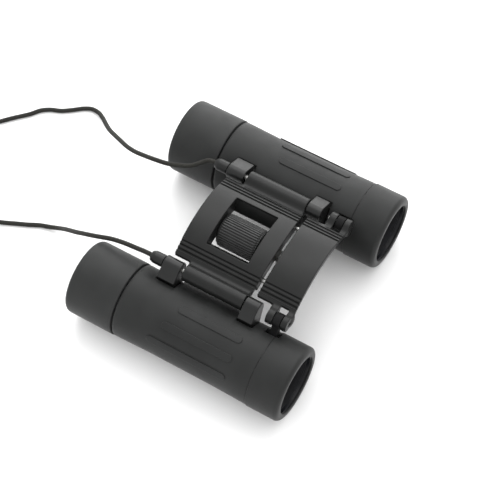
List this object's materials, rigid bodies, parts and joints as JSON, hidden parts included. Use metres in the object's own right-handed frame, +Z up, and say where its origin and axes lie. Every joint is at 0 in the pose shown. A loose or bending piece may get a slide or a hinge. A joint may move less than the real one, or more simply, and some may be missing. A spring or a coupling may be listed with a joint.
{
  "type": "compact folding binoculars",
  "caption": "Compact roof-prism binoculars: two rubber-armoured barrels folding on a double-hinged arched bridge with a centre focus wheel and a thin neck cord.",
  "frame": {"origin": "on the surface the two barrels rest on, midway between them and midway along their length, with the barrels fully open", "axes": "+X towards the user's right barrel, +Y the viewing direction from eyepiece to objective, +Z up"},
  "size_m": [0.1062, 0.1887, 0.0388],
  "materials": {
    "bridge_plastic": "finely textured satin black plastic",
    "lug_plastic": "satin black plastic",
    "cap_plastic": "satin black plastic",
    "ring_plastic": "matte black plastic",
    "inner_plastic": "flat black plastic",
    "armour_rubber": "soft matte rubber armour",
    "eyecup_rubber": "soft matte rubber",
    "wheel_rubber": "ribbed matte rubber",
    "steel": "bright turned steel",
    "brass": "turned brass",
    "coated_glass": "coated optical glass",
    "prism_glass": "polished optical glass",
    "strap_cord": "thin flat braided nylon cord",
    "strap_tie": "black hook-and-loop tie"
  },
  "bodies": {
    "root": {"main_bridge": "bridge_plastic", "hinge_pin_right": "steel", "hinge_pin_left": "steel", "strap_cap_right": "cap_plastic", "strap_cap_left": "cap_plastic", "guide_rods": "steel", "strap_lead_right": "strap_cord", "strap_lead_left": "strap_cord", "strap_coil": "strap_cord", "strap_tie": "strap_tie"},
    "front_bridge": {"front_bridge": "bridge_plastic", "focus_nut": "brass", "link_pin_right": "steel", "link_pin_left": "steel"},
    "focus_wheel": {"focus_wheel_hub": "inner_plastic", "focus_wheel_grip": "wheel_rubber", "focus_screw": "steel", "screw_clip": "steel"},
    "right_barrel": {"barrel_right": "lug_plastic", "armour_right": "armour_rubber", "front_ring_right": "inner_plastic", "prism_cage_right": "inner_plastic", "half_penta_prism_right": "prism_glass", "roof_prism_right": "prism_glass", "field_stop_right": "inner_plastic"},
    "right_objective": {"objective_cell_right": "inner_plastic", "objective_crown_right": "coated_glass", "objective_flint_right": "coated_glass", "objective_retainer_right": "inner_plastic"},
    "left_barrel": {"barrel_left": "lug_plastic", "armour_left": "armour_rubber", "front_ring_left": "inner_plastic", "prism_cage_left": "inner_plastic", "half_penta_prism_left": "prism_glass", "roof_prism_left": "prism_glass", "field_stop_left": "inner_plastic", "eyepiece_cell_left": "inner_plastic", "field_lens_left": "coated_glass", "eye_lens_left": "coated_glass", "eyepiece_retainer_left": "inner_plastic", "eyepiece_ring_left": "ring_plastic", "eyecup_left": "eyecup_rubber"},
    "left_objective": {"objective_cell_left": "inner_plastic", "objective_crown_left": "coated_glass", "objective_flint_left": "coated_glass", "objective_retainer_left": "inner_plastic"},
    "diopter": {"diopter_ring_right": "ring_plastic", "eyecup_right": "eyecup_rubber"},
    "right_eyepiece": {"eyepiece_cell_right": "inner_plastic", "field_lens_right": "coated_glass", "eye_lens_right": "coated_glass", "eyepiece_retainer_right": "inner_plastic"}
  },
  "joints": [
    {"name": "right_hinge", "type": "hinge", "parent": "root", "child": "right_barrel", "pos_m": [0.0238, 0, 0.0314], "axis": [0, 1, 0], "range_deg": [0, 63]},
    {"name": "left_hinge", "type": "hinge", "parent": "root", "child": "left_barrel", "pos_m": [-0.0238, 0, 0.0314], "axis": [0, -1, 0], "range_deg": [0, 63]},
    {"name": "focus", "type": "slide", "parent": "root", "child": "front_bridge", "axis": [0, 1, 0], "range_m": [-0.0016, 0.001]},
    {"name": "wheel_turn", "type": "hinge", "parent": "root", "child": "focus_wheel", "pos_m": [0, 0, 0.0306], "axis": [0, 1, 0], "range_deg": [-150, 94]},
    {"name": "right_objective_slide", "type": "slide", "parent": "right_barrel", "child": "right_objective", "axis": [0, 1, 0], "range_m": [-0.0016, 0.001]},
    {"name": "left_objective_slide", "type": "slide", "parent": "left_barrel", "child": "left_objective", "axis": [0, 1, 0], "range_m": [-0.0016, 0.001]},
    {"name": "diopter_turn", "type": "hinge", "parent": "right_barrel", "child": "diopter", "pos_m": [0.03765, 0, 0.0155], "axis": [0, 1, 0], "range_deg": [-50, 50]},
    {"name": "right_eyepiece_slide", "type": "slide", "parent": "right_barrel", "child": "right_eyepiece", "axis": [0, 1, 0], "range_m": [-0.0011, 0.0011]}
  ],
  "couplings": [
    {"joint": "wheel_turn", "follows": "focus", "rad_per_m": 1570.8},
    {"joint": "right_objective_slide", "follows": "focus", "ratio": 1},
    {"joint": "left_objective_slide", "follows": "focus", "ratio": 1},
    {"joint": "right_eyepiece_slide", "follows": "diopter_turn", "m_per_rad": 0.00115}
  ]
}
